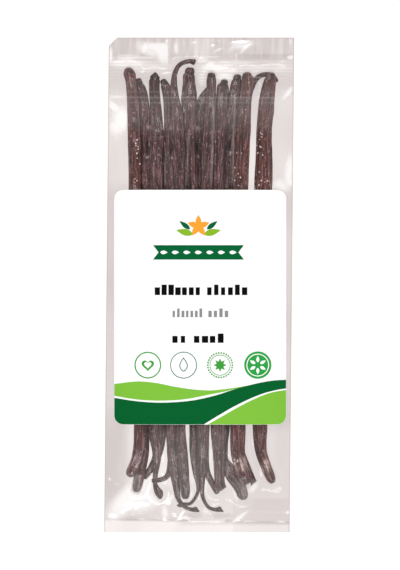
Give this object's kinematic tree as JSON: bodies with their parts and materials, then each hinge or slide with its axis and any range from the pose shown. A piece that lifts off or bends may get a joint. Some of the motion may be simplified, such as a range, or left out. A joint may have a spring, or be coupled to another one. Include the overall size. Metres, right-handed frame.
{
  "type": "packet of vanilla pods",
  "caption": "Flat clear film packet of long dried vanilla pods lying side by side, welded at both ends, with a printed paper label across its front.",
  "frame": {"origin": "centre of the packet's footprint, on the surface it lies on", "axes": "+X to the packet's right, +Y to its top edge, +Z out of its labelled front"},
  "size_m": [0.0768, 0.2, 0.0089],
  "materials": {
    "film_over_pods": "clear glossy film lying on dark brown pods",
    "clear_film": "clear, thin, glossy film with soft wrinkles",
    "pod_skin": "dark brown, oily, finely ridged lengthwise",
    "label_paper": "white satin paper with printed fields of green"
  },
  "bodies": {
    "root": {"bag": "film_over_pods", "label": "label_paper"}
  },
  "joints": []
}
